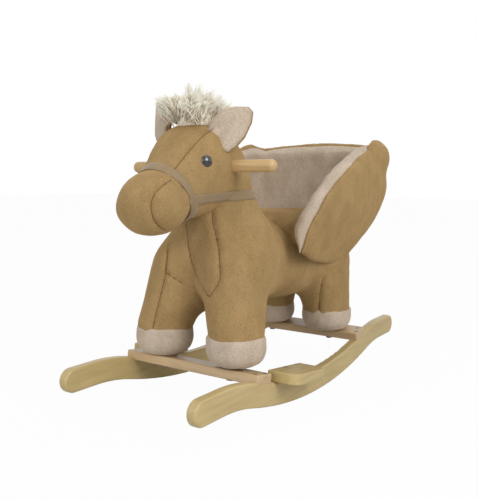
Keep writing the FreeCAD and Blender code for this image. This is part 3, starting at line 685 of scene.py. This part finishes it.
def inflate(obj, pressure=4.0, reach=8.0, voxel=5.0, frames=20):
    """Blow a pad up as cloth, holding each point within reach (mm) of where it began."""
    remesh = obj.modifiers.new("remesh", "REMESH")
    remesh.mode = "VOXEL"
    remesh.voxel_size = voxel * MM
    remesh.use_smooth_shade = True
    settle(obj)
    start = np.array([v.co for v in obj.data.vertices])
    cloth = obj.modifiers.new("cloth", "CLOTH")
    cloth.settings.use_pressure = True
    cloth.settings.uniform_pressure_force = pressure
    cloth.settings.effector_weights.gravity = 0.0
    cloth.settings.quality = 5
    scene = bpy.context.scene
    cloth.point_cache.frame_start, cloth.point_cache.frame_end = 1, frames
    for number in range(1, frames + 1):
        scene.frame_set(number)
    view = bpy.context.evaluated_depsgraph_get()
    swollen = np.array([v.co for v in obj.evaluated_get(view).data.vertices])
    obj.modifiers.remove(cloth)
    scene.frame_set(1)
    shift = swollen - start
    far = np.linalg.norm(shift, axis=1, keepdims=True)
    shift *= np.minimum(1.0, reach * MM / np.maximum(far, 1e-9))
    obj.data.vertices.foreach_set("co", (start + shift).astype(np.float32).ravel())
    obj.data.update()
    finer = obj.modifiers.new("finer", "SUBSURF")
    finer.levels = finer.render_levels = 1
    settle(obj)


def settle(obj):
    """Make an object's modifiers part of its mesh."""
    view = bpy.context.evaluated_depsgraph_get()
    done = bpy.data.meshes.new_from_object(obj.evaluated_get(view))
    obj.modifiers.clear()
    obj.data = done
    done.polygons.foreach_set("use_smooth", [True] * len(done.polygons))


pad = plush("seat_pad_plush", pad_shape, (-206, -118, 256), (24, 118, 330), 3.0, seed=31, bump=1.2)
inflate(pad)
dress(pad, "tan_plush")
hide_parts("seat_foam")

# ------------------------------------------------------------------ ears
EAR_OUTLINE = [(-40, -8), (-26, 13), (-8, 29), (11, 33), (32, 33), (40, 24), (38, 6), (28, -18),
               (14, -35), (0, -45), (-13, -40), (-28, -28)]
EAR_ROUND, EAR_THICK = 9.0, 7.0


def ear_frame(facing):
    """Across, up and out directions of an ear that faces a given way."""
    out = np.array(facing, float)
    out /= np.linalg.norm(out)
    rise = np.array((0, 0, 1.0)) - out * out[2]
    rise /= np.linalg.norm(rise)
    return np.cross(rise, out), rise, out


for hand, side, centre, facing, cant in (
        ("left", 1, (182, 64, 470), (0.88, 0.46, 0.12), 0.0),
        ("right", -1, (184, -72, 490), (0.80, -0.58, 0.06), -2.0)):
    across, rise, out = ear_frame(facing)
    ca, sa = math.cos(math.radians(cant)), math.sin(math.radians(cant))
    across, rise = ca * across + sa * rise, -sa * across + ca * rise
    axes = np.stack([across * side, rise, out], 1).astype(np.float32)
    middle = np.array(centre, np.float32)

    def ear_place(p, axes=axes, middle=middle):
        """Ear coordinates: across towards the tip side, up, and out of the cupped face."""
        q = (p - middle) @ axes
        u, v, w = q[..., 0], q[..., 1], q[..., 2]
        fold = 7 * np.exp(-((u + 12 - 0.5 * (v + 10)) / 11) ** 2) * ease((18 - v) / 50)
        return u, v, w + 0.0045 * u * u + fold - 4

    def ear_back(p, place=ear_place):
        u, v, w = place(p)
        flat = polygon(u, v, EAR_OUTLINE)
        return both(both(flat, -w - EAR_THICK - 1, 10), w, 4) * 0.8

    def ear_front(p, place=ear_place):
        u, v, w = place(p)
        flat = polygon(u, v, EAR_OUTLINE) + 1.5
        return both(both(flat, w - EAR_THICK, EAR_ROUND), -w, 3) * 0.8

    low, high = middle - 60, middle + 60
    ear = plush(f"{hand}_ear_plush", ear_back, low, high, 1.9, seed=41 + side, bump=0.4)
    dress(ear, "tan_plush")
    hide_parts(f"{hand}_ear")
    pleat = [middle + axes @ np.array(place, np.float32)
             for place in ((-34, -10, 6), (-20, -2, 6), (-8, 3, 5), (3, 4, 4))]
    inner = plush(f"{hand}_ear_lining_plush", ear_front, low, high, 1.9, [pleat], 4.0, 4.5,
                  seed=45 + side, bump=0.4, seam_shade=2.2)
    dress(inner, "cream_plush")
    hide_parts(f"{hand}_ear_lining")


# ------------------------------------------------------------------ fur tufts
def tuft(name, locks, slot_name, node_name, width=1.1):
    """Strands gathered into locks; each lock has a root, a direction, a length and a curl."""
    points, faces, tips = [], [], []
    for root, way, long, curl, spread, count in locks:
        root, way, curl = (np.array(v, float) for v in (root, way, curl))
        way /= np.linalg.norm(way)
        for _ in range(count):
            start = root + rng.normal(size=3) * spread
            aim = way + rng.normal(size=3) * 0.10
            aim /= np.linalg.norm(aim)
            reach = long * rng.uniform(0.72, 1.08)
            gather = rng.uniform(0.35, 0.85)
            side = np.cross(aim, rng.normal(size=3))
            side /= np.linalg.norm(side) + 1e-9
            other = np.cross(aim, side)
            rings = 6
            base = len(points)
            for i in range(rings):
                t = i / (rings - 1)
                axis_point = root + way * long * t + curl * t * t
                own = start + aim * reach * t + curl * t * t
                centre = own * (1 - gather * t) + axis_point * gather * t
                thick = width * (1 - t) ** 0.6 + 0.12
                for k in range(3):
                    a = 2 * math.pi * k / 3
                    points.append(centre + thick * (math.cos(a) * side + math.sin(a) * other))
                    tips.append(t)
            for i in range(rings - 1):
                for k in range(3):
                    a, b = base + 3 * i + k, base + 3 * i + (k + 1) % 3
                    faces.append((a, b, b + 3, a + 3))
            faces.append((base + 2, base + 1, base))
            top = base + 3 * (rings - 1)
            faces.append((top, top + 1, top + 2))
    obj = new_mesh(name, points, faces)
    field = obj.data.attributes.new("tip", "FLOAT", "POINT")
    field.data.foreach_set("value", np.array(tips, np.float32))
    dress(obj, slot_name)
    if node_name:
        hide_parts(node_name)
    return obj


def mane_core(p):
    return egg(p, (168, 0, 476), (56, 30, 34), (0, -4, 0))


core = plush("mane_core", mane_core, (96, -42, 432), (236, 42, 520), 2.4, seed=51, bump=1.5)
dress(core, "mane_pile")
mane_locks = []
for _ in range(170):
    t = rng.uniform(0, 1) ** 1.25
    around = rng.uniform(-1.15, 1.0)
    root = (227 - 117 * t, 26 * math.sin(around), 474 + 26 * math.cos(around) - 14 * abs(t - 0.4))
    way = (0.55 - 1.3 * t + rng.normal() * 0.22, 0.62 * math.sin(around) + rng.normal() * 0.18,
           0.35 + 0.8 * math.cos(around))
    long = rng.uniform(24, 42) * (1.0 - 0.35 * abs(t - 0.35))
    mane_locks.append((root, way, long, (rng.normal() * 12, rng.normal() * 10, -8), 5.5, 36))
for root, way, long in (((206, -22, 488), (0.2, -0.75, 0.75), 50), ((196, 2, 496), (0.1, -0.1, 1), 48),
                        ((168, 14, 496), (-0.6, 0.35, 0.7), 44), ((212, -14, 486), (0.6, -0.3, 0.8), 36),
                        ((180, -8, 498), (-0.1, 0.1, 1), 46)):
    mane_locks.append((root, way, long, (rng.normal() * 6, rng.normal() * 6, -2), 4.5, 40))
tuft("mane_fur", mane_locks, "mane_pile", "mane", 1.0)

tail_locks = []
for _ in range(44):
    a = rng.uniform(0, 2 * math.pi)
    root = (-250 + 6 * math.cos(a), 9 * math.sin(a), 292 + rng.uniform(-8, 6))
    way = (-0.28 + 0.12 * math.cos(a), 0.16 * math.sin(a), -1)
    tail_locks.append((root, way, rng.uniform(80, 104), (-6, rng.normal() * 5, -3), 3.5, 12))
tuft("tail_fur", tail_locks, "mane_pile", "tail")


# ------------------------------------------------------------------ ribbons
def face_shape(p):
    return np.minimum(np.minimum(head_shape(p), muzzle_shape(p)), body_shape(p))


def strip(name, centre_line, sides, width, thick, closed=False):
    """A ribbon with thickness along a centre line; sides are its across directions."""
    rings = []
    line = np.array(centre_line, float)
    sides = np.array(sides, float)
    for step in np.linspace(-0.5, 0.5, 7):
        rings.append(line + sides * width * step)
    rows = []
    for ring in rings:
        q = ring.astype(np.float32)
        for _ in range(6):
            value, slope = sample(face_shape, q)
            q = q - value[:, None] * slope
        rows.append((q, slope))
    points, faces = [], []
    n, m = len(line), len(rows)
    for lift in (0.2, thick):
        for j, (q, slope) in enumerate(rows):
            edge = 0.35 if j in (0, m - 1) else 0.0
            points += list(q + slope * (lift - (edge if lift > 0.5 else 0)))
    loops = n if closed else n - 1
    for i in range(loops):
        k = (i + 1) % n
        for j in range(m - 1):
            a, b = j * n + i, (j + 1) * n + i
            c, d = (j + 1) * n + k, j * n + k
            faces.append((a, b, c, d))
            faces.append((n * m + d, n * m + c, n * m + b, n * m + a))
        faces.append((i, k, n * m + k, n * m + i))
        low, high = (m - 1) * n + i, (m - 1) * n + k
        faces.append((high, low, n * m + low, n * m + high))
    if not closed:
        for j in range(m - 1):
            a, b = j * n, (j + 1) * n
            faces.append((b, a, n * m + a, n * m + b))
            c, d = j * n + n - 1, (j + 1) * n + n - 1
            faces.append((c, d, n * m + d, n * m + c))
    obj = new_mesh(name, points, faces)
    return obj


tilt = math.radians(36)
band_axis = np.array((math.cos(tilt), 0, -math.sin(tilt)))
band_up = np.array((math.sin(tilt), 0, math.cos(tilt)))
band_middle = np.array((267.0, 0, 369.0))
ring = []
for a in np.linspace(0, 2 * math.pi, 96, endpoint=False):
    way = math.cos(a) * band_up + math.sin(a) * np.array((0, 1.0, 0))
    reach = 20.0
    for _ in range(60):
        d = float(np.minimum(head_shape((band_middle + way * reach)[None].astype(np.float32)),
                             muzzle_shape((band_middle + way * reach)[None].astype(np.float32)))[0])
        if abs(d) < 0.02:
            break
        reach -= d * 0.8
    ring.append(band_middle + way * reach)
noseband = strip("noseband_ribbon", ring, [band_axis] * len(ring), 15.0, 1.7, closed=True)
dress(noseband, "ribbon")
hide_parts("noseband")

for hand, side in (("left", 1), ("right", -1)):
    line = [(268, 49 * side, 354), (244, 51 * side, 354), (218, 54 * side, 356),
            (190, 56 * side, 357), (166, 57 * side, 358), (140, 62 * side, 359),
            (112, 66 * side, 360), (96, 60 * side, 360), (86, 44 * side, 360),
            (80, 22 * side, 360), (78, 0, 360)]
    laid = smooth_path(on_surface(face_shape, line), 12)
    across = []
    for i in range(len(laid)):
        ahead = laid[min(i + 1, len(laid) - 1)] - laid[max(i - 1, 0)]
        _, out = sample(face_shape, laid[i][None].astype(np.float32))
        s = np.cross(ahead, out[0])
        across.append(s / np.linalg.norm(s))
    ribbon = strip(f"{hand}_cheek_ribbon", laid, across, 16.5, 1.6)
    dress(ribbon, "ribbon")
    if side == 1:
        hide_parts("cheek_ribbons")

# ------------------------------------------------------------------ eyes
for hand, side in (("left", 1), ("right", -1)):
    points, quads = polygonise(
        lambda p, side=side: egg(p, (232, 57 * side, 413), (10, 6.5, 10), (0, 0, -24 * side)),
        (216, 57 * side - 16, 397), (248, 57 * side + 16, 429), 1.3)
    eye = new_mesh(f"{hand}_eye_dome", points, quads)
    dress(eye, "eye_plastic")
    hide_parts(f"{hand}_eye")

# ------------------------------------------------------------------ room, lights, camera
FLOOR_HALF = 14.0
FLOOR_GLOW = 0.965  # share of plain white that the camera sees instead of the lit floor

floor_mesh = bpy.data.meshes.new("floor")
floor_mesh.from_pydata([(-FLOOR_HALF, -FLOOR_HALF, 0), (FLOOR_HALF, -FLOOR_HALF, 0),
                        (FLOOR_HALF, FLOOR_HALF, 0), (-FLOOR_HALF, FLOOR_HALF, 0)], [],
                       [(0, 1, 2, 3)])
floor = bpy.data.objects.new("floor", floor_mesh)
bpy.context.scene.collection.objects.link(floor)
floor_mat, floor_tree, floor_shader = node_tree("floor paper")
floor_shader.inputs["Base Color"].default_value = (0.72, 0.72, 0.72, 1)
floor_shader.inputs["Roughness"].default_value = 0.9
floor_shader.inputs["Specular IOR Level"].default_value = 0.1
glow = floor_tree.nodes.new("ShaderNodeEmission")
glow.inputs["Strength"].default_value = 1.0
seen = floor_tree.nodes.new("ShaderNodeLightPath")
share = floor_tree.nodes.new("ShaderNodeMath")
share.operation = "MULTIPLY"
share.inputs[1].default_value = FLOOR_GLOW
floor_tree.links.new(seen.outputs["Is Camera Ray"], share.inputs[0])
paper = floor_tree.nodes.new("ShaderNodeMixShader")
floor_tree.links.new(share.outputs[0], paper.inputs["Fac"])
floor_tree.links.new(floor_shader.outputs[0], paper.inputs[1])
floor_tree.links.new(glow.outputs[0], paper.inputs[2])
floor_tree.links.new(paper.outputs[0], floor_tree.nodes["Material Output"].inputs["Surface"])
floor.data.materials.append(floor_mat)

world = bpy.data.worlds.new("studio")
bpy.context.scene.world = world
world.use_nodes = True
sky = world.node_tree
sky.nodes.clear()


def maximum(tree, a, b):
    """The larger of two values."""
    m = tree.nodes.new("ShaderNodeMath")
    m.operation = "MAXIMUM"
    tree.links.new(a, m.inputs[0])
    tree.links.new(b, m.inputs[1])
    return m.outputs[0]


def background(tree, strength):
    """A white background of one strength."""
    n = tree.nodes.new("ShaderNodeBackground")
    n.inputs["Color"].default_value = (1, 1, 1, 1)
    n.inputs["Strength"].default_value = strength
    return n.outputs[0]


sky_out = sky.nodes.new("ShaderNodeOutputWorld")
rays = sky.nodes.new("ShaderNodeLightPath").outputs
direct = maximum(sky, maximum(sky, rays["Is Camera Ray"], rays["Is Glossy Ray"]),
                 rays["Is Transmission Ray"])
sky_mix = sky.nodes.new("ShaderNodeMixShader")
sky.links.new(direct, sky_mix.inputs["Fac"])
sky.links.new(background(sky, 0.47), sky_mix.inputs[1])
sky.links.new(background(sky, 1.0), sky_mix.inputs[2])
sky.links.new(sky_mix.outputs[0], sky_out.inputs["Surface"])


def area_lamp(name, place, aim, size_m, watts):
    lamp = bpy.data.lights.new(name, "AREA")
    lamp.shape = "DISK"
    lamp.size = size_m
    lamp.energy = watts
    obj = bpy.data.objects.new(name, lamp)
    bpy.context.scene.collection.objects.link(obj)
    obj.location = place
    obj.rotation_mode = "QUATERNION"
    obj.rotation_quaternion = (Vector(aim) - Vector(place)).to_track_quat("-Z", "Y")
    return obj


area_lamp("key", (0.7, 1.9, 1.4), (0, 0, 0.25), 1.4, 28)
area_lamp("fill", (2.1, -0.5, 1.0), (0, 0, 0.25), 1.6, 13)
area_lamp("top", (-0.3, 0.1, 2.4), (0, 0, 0.2), 1.8, 6)

# the camera looks back along this direction, a little down and hardly rolled
CAMERA_PLACE, CAMERA_LENS = (1.03384, 0.66377, 0.38211), 46.12
azimuth, down, roll = math.radians(34.20), math.radians(6.094), math.radians(0.187)
back = Vector((math.cos(azimuth) * math.cos(down), math.sin(azimuth) * math.cos(down),
               math.sin(down)))
right = Vector((-math.sin(azimuth), math.cos(azimuth), 0))
up = back.cross(right)
rolled_right = math.cos(roll) * right + math.sin(roll) * up
rolled_up = -math.sin(roll) * right + math.cos(roll) * up
camera = bpy.data.objects.new("camera", bpy.data.cameras.new("camera"))
bpy.context.scene.collection.objects.link(camera)
camera.data.sensor_width = 36.0
camera.data.lens = CAMERA_LENS
camera.matrix_world = Matrix((
    (rolled_right.x, rolled_up.x, back.x, CAMERA_PLACE[0]),
    (rolled_right.y, rolled_up.y, back.y, CAMERA_PLACE[1]),
    (rolled_right.z, rolled_up.z, back.z, CAMERA_PLACE[2]),
    (0, 0, 0, 1)))
bpy.context.scene.camera = camera
bpy.context.scene.view_settings.view_transform = "Standard"
